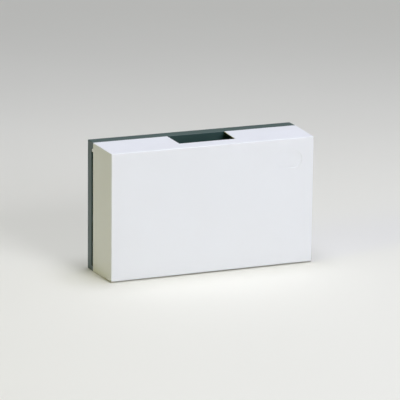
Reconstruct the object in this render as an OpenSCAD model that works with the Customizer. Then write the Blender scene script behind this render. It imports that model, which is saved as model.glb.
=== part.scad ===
// Wall-mounted two-note doorbell chime in a rectangular case.
// A solenoid throws a plunger against one tone bar, and a spring throws it back against the other.
// Every piece is drawn on the bench, lying on its back: x runs across the wall, y up the wall and
// z out from the wall. on_wall() then stands it up, so that the finished part has z up and its
// front faces -y. The origin is the middle of the back of the base, on the wall.

/* [Case] */
// Width of the case across the wall
case_w = 190; // [170:1:240]
// Height of the case up the wall
case_h = 114; // [104:1:160]
// Depth of the base, from the wall to the parting line
base_d = 12.5; // [9:0.5:15]
// Depth of the cover, from the parting line to its front face
cover_d = 40.5; // [38:0.5:60]
// Wall thickness of the cover
cover_wall = 2.2; // [1.8:0.1:3]
// Draft of the cover: how far each side leans in from the parting line to the front
cover_draft = 1.2; // [0.2:0.1:2]
// Thickness of the base floor
floor_t = 2.5; // [2:0.1:4]
// Radius on the outer edges of the cover and the base
edge_r = 0.6; // [0.5:0.1:1.6]

/* [Sound outlet] */
// Width of the notch in the cover's top wall, at the parting line
outlet_w = 53.5; // [30:0.5:80]
// Draft of the notch: how far each of its sides leans in towards its front
outlet_draft = 0.8; // [0.2:0.1:2]
// Depth of the notch, forward from the parting line
outlet_d = 26; // [15:1:32]
// Thickness that the top wall thins to at the edge of the notch
outlet_lip = 0.8; // [0.6:0.1:1.4]
// Width of the thinned border round the notch, on the underside of the top wall
outlet_border = 3; // [2:0.5:4]
// Distance that the baffle behind the notch reaches past it on each side
baffle_side = 10.5; // [6:0.5:11]
// Height of the baffle inside the base, down from the base's top wall
baffle_h = 10; // [6:0.5:14]
// Thickness of the baffle and of its two end webs
baffle_t = 1.8; // [1.4:0.1:2.5]

/* [Badge recess] */
// Length of the bare recess on the front
badge_l = 26; // [18:1:40]
// Height of the bare recess
badge_h = 15; // [8:1:16]
// Depth of the recess
badge_deep = 0.4; // [0.2:0.1:0.8]
// Distance from the recess to the right edge and to the top edge of the front
badge_inset = 11; // [6:1:20]

/* [Parting line] */
// Height of the spigot on the base that centres the cover
spigot_h = 4; // [3:0.5:6]
// Thickness of the spigot
spigot_t = 1.8; // [1.4:0.1:2.5]
// Gap between the cover and the base parts that it slides over
fit_gap = 0.3; // [0.2:0.05:0.5]
// Width of the finger groove along each side of the base
groove_w = 3.8; // [1.2:0.1:4.2]
// Distance from the top of the case to the groove
groove_from_top = 5.5; // [4:0.5:12]
// Distance from the bottom of the case to the groove
groove_from_bottom = 4.5; // [4:0.5:12]
// Height of the keying tab on the cover, in the groove's upper end
tab_h = 3; // [2:0.5:6]
// Gap between the keying tab and the floor of the groove
tab_gap = 1.1; // [0.3:0.1:1.5]
// Width of each hook inside the cover
hook_w = 12; // [8:1:16]
// Thickness of each hook
hook_t = 1.8; // [1.4:0.1:2.5]
// Reach of each hook past the parting line
hook_reach = 4.5; // [3:0.5:5]
// Height of each hook's root on the cover wall
hook_root = 4; // [3:0.5:6]
// Distance from the middle of the case up or down to each hook
hook_up = 36; // [20:1:40]

/* [Wall fixings] */
// Distance across the wall between two fixings
fixing_pitch = 84; // [76:1:92]
// Distance from the end of a keyhole to the spigot
fixing_room = 4.5; // [3:0.5:8]
// Diameter of the lower fixing holes
fixing_hole_d = 4.6; // [4:0.1:5.5]
// Diameter that a screw head passes in a keyhole
keyhole_head_d = 8.4; // [7:0.1:10]
// Width of a keyhole's slot
keyhole_slot_w = 4.4; // [4:0.1:5]
// Rise of a keyhole's slot above the middle of its head hole
keyhole_rise = 8; // [6:0.5:9]
// Diameter of the cable entry
cable_hole_d = 13; // [8:0.5:14]
// Height of the collars round the holes in the floor
collar_h = 2; // [1:0.5:3]
// Wall thickness of those collars
collar_t = 2.5; // [1.5:0.5:3]

/* [Floor ribs] */
// Thickness of the floor ribs and of the fork gussets
rib_t = 1.4; // [1:0.1:2]
// Height of the floor ribs
rib_h = 2.5; // [1.5:0.5:3]
// Room between the terminal block and the nearest ribs
rib_room = 1.8; // [1:0.1:3]
// Distance from the middle of the case up or down to the cross ribs
rib_cross = 12; // [8:1:14]

/* [Tone bars] */
// Thickness of the tone bars
bar_t = 2.5; // [2:0.1:3]
// Width of the tone bars
bar_w = 28; // [22:1:30]
// Radius on the corners of the tone bars
bar_corner_r = 3; // [1:0.5:6]
// Room between the ends of the low-note bar and the cover
bar_end_room = 4.8; // [3:0.1:10]
// How much shorter the high-note bar is
bar_step = 8; // [4:1:14]
// Distance between the inner faces of the two bars
bar_spread = 112; // [110:0.5:120]

/* [Grommets and forks] */
// Diameter of the grommet flanges
grommet_d = 12; // [11:0.5:14]
// Diameter of the grommet neck in the tone bar
bar_neck_d = 8.8; // [7.5:0.1:9.5]
// Diameter of the grommet neck in the fork
fork_neck_d = 5.8; // [5:0.1:6.5]
// Diameter of the hole down the grommet
grommet_bore_d = 2.6; // [2:0.1:3]
// Thickness of the grommet's end flanges
grommet_flange_t = 1.7; // [1.2:0.1:2.5]
// Thickness of the grommet's middle flange
grommet_middle_t = 2.3; // [1.8:0.1:3]
// Gap round the grommet necks and beside the flanges
grommet_gap = 0.1; // [0.05:0.05:0.2]
// Thickness of the fork plates on the base
fork_t = 2.4; // [2:0.1:3]
// Width of each fork prong
fork_prong = 5; // [4:0.5:6]
// Height of the fork prongs above the plunger's axis
fork_lip = 7; // [5:0.5:9]
// Reach of the gusset behind each fork
gusset_reach = 11; // [8:0.5:14]

/* [Solenoid] */
// Distance from the wall to the plunger's axis
axis_out = 29; // [27:0.5:31]
// Diameter of the bobbin flanges
flange_d = 26; // [24:0.5:28]
// Thickness of the bobbin flanges
flange_t = 1.6; // [1.2:0.1:2.2]
// Length of the bobbin between the yoke arms
bobbin_l = 40; // [36:1:44]
// Wall thickness of the bobbin tube
bobbin_wall = 1.35; // [1:0.05:1.6]
// Length of the bobbin tube beyond the yoke arms
tube_proud = 2; // [1:0.5:4]
// Depth from the flange's edge to the tape round the winding
winding_room = 1.5; // [0.5:0.1:3]
// Thickness of the tape
tape_t = 0.45; // [0.3:0.05:0.6]
// Gap between the layers of the coil
layer_gap = 0.05; // [0.02:0.01:0.1]
// Thickness of the yoke steel
yoke_t = 1.5; // [1.2:0.1:2]
// Width of the yoke strip
yoke_w = 24; // [20:1:26]
// Gap between the bobbin flanges and the yoke's web
yoke_clear = 0.3; // [0.2:0.05:0.6]
// Diameter of a yoke ear
ear_w = 10; // [9:0.5:12]
// Distance from a yoke ear to the bend of the yoke's arm
ear_inset = 0.5; // [0.5:0.5:4]
// Room between the heads of the yoke screws and the bobbin flanges
head_room = 1.5; // [1:0.5:3]

/* [Plunger] */
// Diameter of the steel core
core_d = 8; // [7:0.1:9]
// Length of the steel core
core_l = 46; // [42:1:50]
// Running gap round the core in the bobbin, and round the bobbin in the yoke
core_gap = 0.15; // [0.1:0.05:0.3]
// Distance from the coil's middle to the core's middle after the stroke to the right
core_short = 2.6; // [1:0.1:4]
// Stroke to the left, from rest to the low-note bar
stroke_left = 2.4; // [1.5:0.1:3]
// Stroke to the right, from rest to the high-note bar
stroke_right = 9.4; // [7:0.1:10]
// Gap that is left at a bar when a striker reaches the end of its stroke
strike_gap = 0.1; // [0.05:0.05:0.3]
// Diameter of the right striker's rod
rod_d = 6.5; // [5.5:0.1:7]
// Diameter of the left striker's nose
nose_d = 7; // [5:0.1:8]
// Length of the left striker's nose beyond its flange
nose_l = 6; // [5:0.5:8]
// Diameter of the striker shanks in the core
shank_d = 4; // [3:0.1:4.5]
// Length of the striker shanks
shank_l = 8; // [6:0.5:10]

/* [Return spring] */
// Gap between the spring and the bobbin tube inside it
spring_room = 0.55; // [0.3:0.05:1]
// Diameter of the spring wire
spring_wire = 0.9; // [0.6:0.1:1]
// Number of turns
spring_turns = 8; // [6:1:9]
// Gap between the spring's ends and their seats
spring_end_gap = 0.15; // [0.1:0.05:0.3]
// Width of the spring's seat on the left striker beyond the spring
seat_lip = 1.5; // [1:0.1:3]
// Thickness of that seat
seat_t = 2; // [1.5:0.1:3]

/* [Terminal block] */
// Height of the terminal block up the wall
block_h = 16; // [15:0.5:18]
// Room between the terminal block and the spigot below it
block_room = 2.7; // [1:0.1:5]
// Thickness of the terminal block under the ends of its screws
block_under = 2.2; // [1:0.1:4]
// Height of the barriers beside the terminals
barrier_h = 4.5; // [3.5:0.5:6]
// Thickness of the barriers
barrier_t = 2.2; // [1.5:0.1:2.6]
// Distance between the two terminal screws
terminal_pitch = 18; // [17:0.5:20]
// Thickness of the terminal plates
plate_t = 0.8; // [0.5:0.1:1]
// Width of the terminal plates
plate_w = 11.8; // [10:0.1:12.5]
// Room between the terminal plates and the outer barriers
plate_room = 1.9; // [0.5:0.1:3]
// Distance from the terminal plates to the block's upper and lower edges
plate_margin = 2; // [1:0.5:3]
// Width of the solder tails
tail_w = 4; // [3:0.5:5]
// Length of the solder tails above the plates
tail_l = 5; // [4:0.5:6]
// Thickness of the wire clamps
clamp_t = 1; // [0.8:0.1:1.4]
// Side of the square wire clamps
clamp_w = 8.5; // [8:0.1:9.5]
// Diameter of the mounting ears on the block
block_ear_w = 8; // [7:0.5:9]
// Distance from the block to the middle of a mounting ear
block_ear_out = 3.3; // [3:0.1:5]
// Thickness of the mounting ears
block_ear_t = 2.5; // [2:0.1:3]

/* [Screws] */
// Diameter of the yoke screws
yoke_screw_d = 3; // [2.5:0.1:3.5]
// Diameter of the terminal screws
terminal_screw_d = 3.5; // [3:0.1:4]
// Diameter of the terminal block's mounting screws
block_screw_d = 2.6; // [2.2:0.1:3]
// Width of the slot in the terminal screws
slot_w = 1; // [0.6:0.1:1.4]
// Length of the screws under the head
screw_l = 7.5; // [6:0.5:9]
// Gap round a screw in its hole
screw_gap = 0.1; // [0.05:0.05:0.2]
// Depth left in the hole beyond the end of a screw
screw_end_room = 0.6; // [0.4:0.1:1]
// Thickness of the base under a screw hole
hole_floor = 0.9; // [0.6:0.1:2]
// Wall thickness of the screw bosses
boss_t = 2; // [1.5:0.1:2.5]

/* [Coil leads] */
// Diameter of the insulated coil leads
lead_d = 1.6; // [1:0.1:2]
// Distance from the coil's middle to each lead's start
lead_x = 10; // [8:0.5:13]
// Gap between a lead's ends and what they are joined to
lead_gap = 0.1; // [0.05:0.05:0.2]

/* [Hidden] */
$fn = 64;

// Cuts run past the faces that they open by this much
over = 1;
// The cover's sides run straight for this far at the parting line before they lean in
land = 0.4;
left = -1;
right = 1;

// Pan heads, as shares of the screw's diameter
head_d_share = 2;
head_h_share = 0.7;
recess_share = 1.2;

// Case
case_d = base_d + cover_d;
rim_t = cover_wall + fit_gap;
spigot_w = case_w - 2 * rim_t;
spigot_up = case_h - 2 * rim_t;
spigot_top = base_d + spigot_h;
pocket_w = spigot_w - 2 * spigot_t;
pocket_up = spigot_up - 2 * spigot_t;
inside_w = case_w - 2 * cover_wall;
inside_h = case_h - 2 * cover_wall;
groove_top = case_h / 2 - groove_from_top;
groove_bottom = groove_from_bottom - case_h / 2;
baffle_x = outlet_w / 2 + baffle_side;
baffle_low = pocket_up / 2 - baffle_h;
baffle_high = pocket_up / 2 + spigot_t / 2;
rib_top = floor_t + rib_h;
collar_top = floor_t + collar_h;

// Fixings: keyholes above and plain holes below, as far from the middle
fixing_x = fixing_pitch / 2;
fixing_y = pocket_up / 2 - fixing_room - keyhole_slot_w / 2 - keyhole_rise;

// Solenoid, along x about its own middle
bore_d = core_d + 2 * core_gap;
tube_d = bore_d + 2 * bobbin_wall;
tape_d = flange_d - 2 * winding_room;
winding_d = tape_d - 2 * (tape_t + layer_gap);
yoke_half = bobbin_l / 2 + yoke_t;
yoke_front = axis_out + flange_d / 2 + yoke_clear;
yoke_seat = axis_out - flange_d / 2 - yoke_clear - yoke_t;
yoke_bend_r = 2 * yoke_t;
tube_half = yoke_half + tube_proud;
ear_x = yoke_half - yoke_bend_r - ear_inset - ear_w / 2;
ear_y = flange_d / 2 + head_room + head_d_share * yoke_screw_d / 2;

// Plunger at rest, from its left nose to its right nose
nose_left = stroke_left + strike_gap - bar_spread / 2;
nose_right = bar_spread / 2 - strike_gap - stroke_right;
spring_seat = nose_left + nose_l + seat_t;
core_left = -core_short - stroke_right - core_l / 2;
core_right = core_left + core_l;
spring_d = tube_d + 2 * spring_room + spring_wire;
seat_d = spring_d + spring_wire + 2 * seat_lip;

// Tone bars, held at the places that hardly move as they ring
bar_long = inside_h - 2 * bar_end_room;
bar_short = bar_long - bar_step;
still_share = 0.224;
function bar_length(side) = side == left ? bar_long : bar_short;
function bar_still(side) = bar_length(side) * (0.5 - still_share);

// Grommets and forks, outward from the inner face of a bar
bar_face = bar_spread / 2;
grommet_start = bar_face - grommet_gap - grommet_flange_t;
middle_start = bar_face + bar_t + grommet_gap;
fork_start = middle_start + grommet_middle_t + grommet_gap;
fork_end = fork_start + fork_t;
outer_start = fork_end + grommet_gap;
grommet_end = outer_start + grommet_flange_t;
gusset_end = fork_end + gusset_reach;

// Terminal block, above the bottom wall, with the cable entry above it
block_w = terminal_pitch + plate_w + 2 * (plate_room + barrier_t);
block_low = block_room - pocket_up / 2;
block_middle = block_low + block_h / 2;
block_high = block_low + block_h;
block_seat = screw_l - plate_t - clamp_t + screw_end_room + block_under;
terminal_floor = floor_t + block_seat;
clamp_floor = terminal_floor + plate_t;
terminal_head = clamp_floor + clamp_t;
block_ear_floor = hole_floor + screw_end_room + screw_l - block_ear_t;
block_ear_x = block_w / 2 + block_ear_out;
plate_h = block_h - 2 * plate_margin;
tail_x = terminal_pitch / 2 + plate_w / 2 - tail_w / 2;
tail_top = block_middle + plate_h / 2 + tail_l;
cable_hole_y = block_high + collar_t + cable_hole_d / 2;

// Floor ribs, clear of the terminal block and level with the ends of the gussets
rib_inner_x = block_ear_x + block_ear_w / 2 + rib_room;
rib_outer_x = gusset_end;

// Route of the left coil lead, from under the tape to the solder tail
lead_start = [-lead_x, -tape_d / 2 - lead_gap, axis_out];
lead_end = [-tail_x, tail_top - tail_l, clamp_floor + lead_d / 2 + lead_gap];
lead_route = [
    lead_start, lead_start + [0, -3, -0.5],
    0.6 * lead_start + 0.4 * lead_end + [0, -1.5, 2.5], 0.3 * lead_start + 0.7 * lead_end + [0, 0.5, 1.5],
    lead_end + [0, 5, 1], lead_end + [0, 2.5, 0], lead_end
];
lead_steps = 4;
lead_sides = 8;
wire_sides = 6;
rings_per_turn = 8;

case_white = "#eceef2";
base_teal = "#33494b";
bar_steel = "#c3c6c8";
zinc = "#b4b8b6";
nylon = "#efe9d8";
copper = "#b5673a";
tape_yellow = "#d9b53c";
dark_steel = "#8d9194";
rubber_black = "#232425";
block_cream = "#e4dcc4";
brass = "#c9a455";
lead_red = "#b3372f";
lead_blue = "#2b3a55";

// Frames and small shapes

module on_wall() {
    rotate([90, 0, 0]) children();
}

module along_x() {
    rotate([0, 90, 0]) children();
}

module on_axis(x) {
    translate([x, 0, axis_out]) along_x() children();
}

module on_side(side) {
    if (side == left) mirror([1, 0, 0]) children();
    else children();
}

module on_both_sides() {
    for (side = [left, right]) on_side(side) children();
}

module block(low, high) {
    translate(low) cube(high - low);
}

module rounded_rectangle(w, h, r) {
    square([w - 2 * r, h], center = true);
    square([w, h - 2 * r], center = true);
    for (x = [-1, 1], y = [-1, 1])
        translate([x * (w / 2 - r), y * (h / 2 - r)]) circle(r);
}

module slot_shape(w, h) {
    square([w - h, h], center = true);
    for (x = [-1, 1])
        translate([x * (w - h) / 2, 0]) circle(d = h);
}

// A rectangle of width w from z = 0 to z = d, with its two corners at z = d rounded
module front_rounded(w, d, r) {
    translate([-w / 2, 0]) square([w, d - r]);
    translate([r - w / 2, 0]) square([w - 2 * r, d]);
    for (x = [-1, 1])
        translate([x * (w / 2 - r), d - r]) circle(r);
}

// A block with a sharp back and a short straight land there, whose sides then lean in by the draft
// to a front with rounded edges
module drafted_block(w, h, d, r, draft) {
    front_w = w - 2 * (draft + r);
    front_h = h - 2 * (draft + r);
    hull($fn = 32) {
        linear_extrude(land) rounded_rectangle(w, h, r);
        translate([0, 0, d - r]) {
            linear_extrude(r) square([front_w, front_h], center = true);
            for (x = [-1, 1], y = [-1, 1])
                translate([x * front_w / 2, y * front_h / 2, 0]) sphere(r);
        }
    }
}

// The two slanting sides of an inner space: w wide at z = 0, narrower by the draft on each side at z = d
module drafted_sides(w, d, draft) {
    front = w / 2 - draft;
    polygon([[-w / 2, -over], [w / 2, -over], [w / 2, 0], [front, d], [-front, d], [-w / 2, 0]]);
}

// A pan-head screw, its head resting on z = 0 and its shank below; the children are cut from the head
module pan_screw(d) {
    head_h = head_h_share * d;
    difference() {
        union() {
            translate([0, 0, -screw_l]) cylinder(h = screw_l + head_h / 2, d = d);
            cylinder(h = head_h, d = head_d_share * d);
        }
        translate([0, 0, head_h]) children();
    }
}

module slotted_screw(d) {
    pan_screw(d) cube([head_d_share * d + over, slot_w, head_h_share * d], center = true);
}

module cross_screw(d) {
    pan_screw(d) {
        cube([recess_share * d, d / 4, head_h_share * d], center = true);
        cube([d / 4, recess_share * d, head_h_share * d], center = true);
    }
}

// Tubes swept along points

function unit(v) = v / norm(v);

function tangent(points, i) =
    unit(points[min(i + 1, len(points) - 1)] - points[max(i - 1, 0)]);

// A smooth curve through the points, with that many steps between each two
function spline_point(a, b, c, d, t) =
    0.5 * (2 * b + (c - a) * t + (2 * a - 5 * b + 4 * c - d) * t * t
        + (3 * b - a - 3 * c + d) * t * t * t);

function smooth(points, steps) = [
    for (i = [0 : len(points) - 2], s = [0 : steps - 1])
        spline_point(points[max(i - 1, 0)], points[i], points[i + 1],
            points[min(i + 2, len(points) - 1)], s / steps),
    points[len(points) - 1]
];

// One closed tube round the points, whose rings start in the directions given
module tube(points, starts, d, sides) {
    rings = len(points);
    corners = [
        for (i = [0 : rings - 1])
            let (t = tangent(points, i), u = unit(starts[i] - t * (starts[i] * t)), v = cross(t, u))
                for (k = [0 : sides - 1])
                    points[i] + d / 2 * (u * cos(360 * k / sides) + v * sin(360 * k / sides))
    ];
    first = len(corners);
    last = first + 1;
    walls = [
        for (i = [0 : rings - 2], k = [0 : sides - 1])
            let (a = i * sides + k, b = i * sides + (k + 1) % sides)
                for (face = [[a, a + sides, b], [b, a + sides, b + sides]]) face
    ];
    caps = [
        for (k = [0 : sides - 1])
            let (a = k, b = (k + 1) % sides, c = (rings - 1) * sides)
                for (face = [[first, a, b], [last, c + b, c + a]]) face
    ];
    polyhedron(points = concat(corners, [points[0], points[rings - 1]]), faces = concat(walls, caps));
}

// Case

module keyhole() {
    deep = floor_t + 2 * over;
    translate([0, 0, -over]) {
        cylinder(h = deep, d = keyhole_head_d);
        translate([-keyhole_slot_w / 2, 0, 0]) cube([keyhole_slot_w, keyhole_rise, deep]);
        translate([0, keyhole_rise, 0]) cylinder(h = deep, d = keyhole_slot_w);
    }
}

module collar(hole_d) {
    translate([0, 0, floor_t / 2]) cylinder(h = collar_top - floor_t / 2, d = hole_d + 2 * collar_t);
}

module collar_hole(hole_d) {
    translate([0, 0, -over]) cylinder(h = collar_top + 2 * over, d = hole_d);
}

module screw_boss(screw_d, top) {
    translate([0, 0, floor_t / 2])
        cylinder(h = top - floor_t / 2, d = screw_d + 2 * (screw_gap + boss_t));
}

// A blind hole from the seat at z = top, for a screw that holds pieces of this thickness
module screw_hole(screw_d, top, held) {
    deep = screw_l - held + screw_end_room;
    translate([0, 0, top - deep]) cylinder(h = deep + over, d = screw_d + 2 * screw_gap);
}

module yoke_screw_places() {
    for (side = [left, right])
        translate([side * ear_x, -side * ear_y, 0]) children();
}

module block_screw_places() {
    for (side = [left, right])
        translate([side * block_ear_x, block_middle, 0]) children();
}

module terminal_places() {
    for (side = [left, right])
        translate([side * terminal_pitch / 2, block_middle, 0]) children();
}

// One upright plate with an open slot for a grommet's neck, and a gusset behind it
module fork() {
    slot_d = fork_neck_d + 2 * grommet_gap;
    half_w = slot_d / 2 + fork_prong;
    top = axis_out + fork_lip;
    gusset_top = axis_out - grommet_d / 2 - over;
    difference() {
        block([fork_start, -half_w, floor_t / 2], [fork_end, half_w, top]);
        on_axis(fork_start - over) cylinder(h = fork_t + 2 * over, d = slot_d);
        block([fork_start - over, -slot_d / 2, axis_out], [fork_end + over, slot_d / 2, top + over]);
    }
    rotate([90, 0, 0]) linear_extrude(rib_t, center = true)
        polygon([
            [fork_start + fork_t / 2, floor_t / 2], [gusset_end, floor_t / 2], [gusset_end, rib_top],
            [fork_end, gusset_top], [fork_start + fork_t / 2, gusset_top]
        ]);
}

module at_bar_holes(side) {
    for (y = [-1, 1])
        on_side(side) translate([0, y * bar_still(side), 0]) children();
}

module floor_ribs() {
    on_both_sides() {
        for (x = [rib_inner_x, rib_outer_x])
            block([x - rib_t / 2, -pocket_up / 2 - spigot_t / 2, floor_t / 2],
                [x + rib_t / 2, pocket_up / 2 + spigot_t / 2, rib_top]);
        for (y = [-rib_cross, rib_cross])
            block([rib_inner_x, y - rib_t / 2, floor_t / 2], [rib_outer_x, y + rib_t / 2, rib_top]);
    }
}

// A wall across the top of the tray, level with the parting line, that closes the view in through the notch
module baffle() {
    block([-baffle_x, baffle_low, base_d - baffle_t], [baffle_x, baffle_high, base_d]);
    on_both_sides()
        block([baffle_x - baffle_t, baffle_low, floor_t / 2], [baffle_x, baffle_high, base_d]);
}

module tray() difference() {
    union() {
        linear_extrude(base_d) rounded_rectangle(case_w, case_h, edge_r);
        block([-spigot_w / 2, -spigot_up / 2, 0], [spigot_w / 2, spigot_up / 2, spigot_top]);
    }
    block([-baffle_x, pocket_up / 2 - over, base_d], [baffle_x, spigot_up / 2 + over, spigot_top + over]);
    block([-pocket_w / 2, -pocket_up / 2, floor_t], [pocket_w / 2, pocket_up / 2, spigot_top + over]);
    on_both_sides()
        block([spigot_w / 2, groove_bottom, base_d - groove_w],
            [case_w / 2 + over, groove_top, base_d + over]);
}

module base_plate() on_wall() color(base_teal) difference() {
    union() {
        tray();
        baffle();
        floor_ribs();
        for (side = [left, right]) {
            at_bar_holes(side) fork();
            translate([side * fixing_x, -fixing_y, 0]) collar(fixing_hole_d);
        }
        translate([0, cable_hole_y, 0]) collar(cable_hole_d);
        yoke_screw_places() screw_boss(yoke_screw_d, yoke_seat);
        block_screw_places() screw_boss(block_screw_d, block_ear_floor);
    }
    for (side = [left, right]) {
        translate([side * fixing_x, fixing_y, 0]) keyhole();
        translate([side * fixing_x, -fixing_y, 0]) collar_hole(fixing_hole_d);
    }
    translate([0, cable_hole_y, 0]) collar_hole(cable_hole_d);
    yoke_screw_places() screw_hole(yoke_screw_d, yoke_seat, yoke_t);
    block_screw_places() screw_hole(block_screw_d, block_ear_floor, block_ear_t);
}

// A hook on the cover's side wall that reaches inside the base's spigot
module cover_hook() {
    tongue = pocket_w / 2 - fit_gap;
    root = spigot_top + fit_gap;
    block([tongue - hook_t, -hook_w / 2, base_d - hook_reach], [tongue, hook_w / 2, root + hook_root]);
    block([tongue - hook_t, -hook_w / 2, root],
        [inside_w / 2 + cover_wall / 2, hook_w / 2, root + hook_root]);
}

// The space inside the cover, with the draft of its walls
module cover_space() {
    deep = cover_d - cover_wall;
    draft = cover_draft * deep / cover_d;
    intersection() {
        rotate([90, 0, 90]) linear_extrude(case_w, center = true) drafted_sides(inside_h, deep, draft);
        rotate([90, 0, 0]) linear_extrude(case_h, center = true) drafted_sides(inside_w, deep, draft);
    }
}

// The notch in the top wall, and the thinned border round it that leaves only a lip at its edge
module cover_outlet() {
    deep = outlet_d + outlet_border;
    high = case_h / 2 - outlet_lip;
    low = inside_h / 2 - cover_draft - over;
    translate([0, case_h / 2 + over, 0]) rotate([90, 0, 0])
        linear_extrude(case_h / 2) drafted_sides(outlet_w, outlet_d, outlet_draft);
    rotate([90, 0, 90]) linear_extrude(outlet_w + 2 * outlet_border, center = true)
        polygon([
            [low, -over], [high, -over], [high, 0],
            [high - cover_draft * deep / cover_d, deep], [low, deep]
        ]);
}

module cover() on_wall() color(case_white) {
    difference() {
        translate([0, 0, base_d]) difference() {
            drafted_block(case_w, case_h, cover_d, edge_r, cover_draft);
            cover_space();
            cover_outlet();
        }
        translate([case_w / 2 - cover_draft - badge_inset - badge_l / 2,
                case_h / 2 - cover_draft - badge_inset - badge_h / 2, case_d - badge_deep])
            linear_extrude(badge_deep + over) slot_shape(badge_l, badge_h);
    }
    on_both_sides() {
        for (y = [-hook_up, hook_up])
            translate([0, y, 0]) cover_hook();
        block([inside_w / 2, groove_top - tab_h, base_d - groove_w + tab_gap],
            [case_w / 2, groove_top - fit_gap, base_d + land]);
    }
}

// Tone bars

module tone_bar(side) on_wall() color(bar_steel) difference() {
    translate([side * (bar_face + bar_t / 2), 0, axis_out])
        rotate([90, 0, 90]) linear_extrude(bar_t, center = true)
            rounded_rectangle(bar_length(side), bar_w, bar_corner_r);
    at_bar_holes(side)
        on_axis(bar_face - over) cylinder(h = bar_t + 2 * over, d = bar_neck_d + 2 * grommet_gap);
}

module tone_bar_left() tone_bar(left);

module tone_bar_right() tone_bar(right);

module grommet() difference() {
    union() {
        on_axis(grommet_start) cylinder(h = grommet_flange_t, d = grommet_d);
        on_axis(grommet_start) cylinder(h = middle_start - grommet_start, d = bar_neck_d);
        on_axis(middle_start) cylinder(h = grommet_middle_t, d = grommet_d);
        on_axis(middle_start) cylinder(h = outer_start - middle_start, d = fork_neck_d);
        on_axis(outer_start) cylinder(h = grommet_flange_t, d = grommet_d);
    }
    on_axis(grommet_start - over)
        cylinder(h = grommet_end - grommet_start + 2 * over, d = grommet_bore_d);
}

module grommets_left() on_wall() color(rubber_black) at_bar_holes(left) grommet();

module grommets_right() on_wall() color(rubber_black) at_bar_holes(right) grommet();

// Solenoid

// The bent strip, seen along its width, with its arms left long
module yoke_bend() {
    height = 2 * yoke_front;
    translate([0, yoke_seat + height / 2]) difference() {
        rounded_rectangle(2 * yoke_half, height, yoke_bend_r);
        rounded_rectangle(bobbin_l, height - 2 * yoke_t, yoke_bend_r - yoke_t);
    }
}

module yoke() on_wall() color(zinc) difference() {
    union() {
        intersection() {
            rotate([90, 0, 0]) linear_extrude(yoke_w, center = true) yoke_bend();
            rotate([90, 0, 90]) linear_extrude(2 * (yoke_half + over), center = true)
                front_rounded(yoke_w, yoke_front, yoke_bend_r);
        }
        for (side = [left, right]) translate([side * ear_x, 0, yoke_seat]) {
            translate([0, -side * ear_y, 0]) cylinder(h = yoke_t, d = ear_w);
            translate([0, -side * ear_y / 2, yoke_t / 2]) cube([ear_w, ear_y, yoke_t], center = true);
        }
    }
    on_axis(-yoke_half - over) cylinder(h = 2 * (yoke_half + over), d = tube_d + 2 * core_gap);
    yoke_screw_places() translate([0, 0, yoke_seat - over])
        cylinder(h = yoke_t + 2 * over, d = yoke_screw_d + 2 * screw_gap);
}

module yoke_screws() on_wall() color(zinc)
    yoke_screw_places() translate([0, 0, yoke_seat + yoke_t]) cross_screw(yoke_screw_d);

module coil_bobbin() on_wall() color(nylon) difference() {
    union() {
        on_axis(-tube_half) cylinder(h = 2 * tube_half, d = tube_d);
        on_axis(-bobbin_l / 2) cylinder(h = flange_t, d = flange_d);
        on_axis(bobbin_l / 2 - flange_t) cylinder(h = flange_t, d = flange_d);
    }
    on_axis(-tube_half - over) cylinder(h = 2 * (tube_half + over), d = bore_d);
}

module sleeve(inner_d, outer_d) {
    half_l = bobbin_l / 2 - flange_t - layer_gap;
    difference() {
        on_axis(-half_l) cylinder(h = 2 * half_l, d = outer_d);
        on_axis(-half_l - over) cylinder(h = 2 * (half_l + over), d = inner_d);
    }
}

module coil_winding() on_wall() color(copper) sleeve(tube_d + 2 * layer_gap, winding_d);

module coil_tape() on_wall() color(tape_yellow) sleeve(winding_d + 2 * layer_gap, tape_d);

// Plunger

module plunger_core() on_wall() color(dark_steel) difference() {
    hole_l = shank_l + screw_end_room;
    on_axis(core_left) cylinder(h = core_l, d = core_d);
    for (x = [core_left - over, core_right - hole_l])
        on_axis(x) cylinder(h = hole_l + over, d = shank_d + 2 * layer_gap);
}

module striker_left() on_wall() color(nylon) {
    on_axis(spring_seat - seat_t) cylinder(h = seat_t, d = seat_d);
    on_axis(spring_seat - seat_t / 2) cylinder(h = core_left - spring_seat + seat_t / 2, d = core_d);
    on_axis(core_left - over) cylinder(h = shank_l + over, d = shank_d);
    on_axis(nose_left + nose_d / 2) cylinder(h = nose_l - nose_d / 2 + seat_t / 2, d = nose_d);
    on_axis(nose_left + nose_d / 2) sphere(d = nose_d);
}

module striker_right() on_wall() color(nylon) {
    on_axis(core_right - shank_l) cylinder(h = shank_l + over, d = shank_d);
    on_axis(core_right) cylinder(h = nose_right - rod_d / 2 - core_right, d = rod_d);
    on_axis(nose_right - rod_d / 2) sphere(d = rod_d);
}

// Return spring, one open helix between the yoke's left arm and the left striker's seat
spring_from = -yoke_half - spring_end_gap - spring_wire / 2;
spring_to = spring_seat + spring_end_gap + spring_wire / 2;
spring_rings = spring_turns * rings_per_turn;

function spring_radial(i) =
    let (a = 360 * i / rings_per_turn) [0, cos(a), sin(a)];

function spring_point(i) =
    [spring_from + (spring_to - spring_from) * i / spring_rings, 0, axis_out]
        + spring_d / 2 * spring_radial(i);

spring_points = [for (i = [0 : spring_rings]) spring_point(i)];

// Points half a turn apart or more can come close to each other
spring_least_gap = min([
    for (i = [0 : spring_rings], k = [i + rings_per_turn / 2 : 1 : spring_rings])
        norm(spring_points[k] - spring_points[i]) - spring_wire
]);
echo("return_spring least gap to itself, mm", spring_least_gap);

module return_spring() on_wall() color(bar_steel)
    tube(spring_points, [for (i = [0 : spring_rings]) spring_radial(i)], spring_wire, wire_sides);

// Terminal block and wiring

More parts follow.
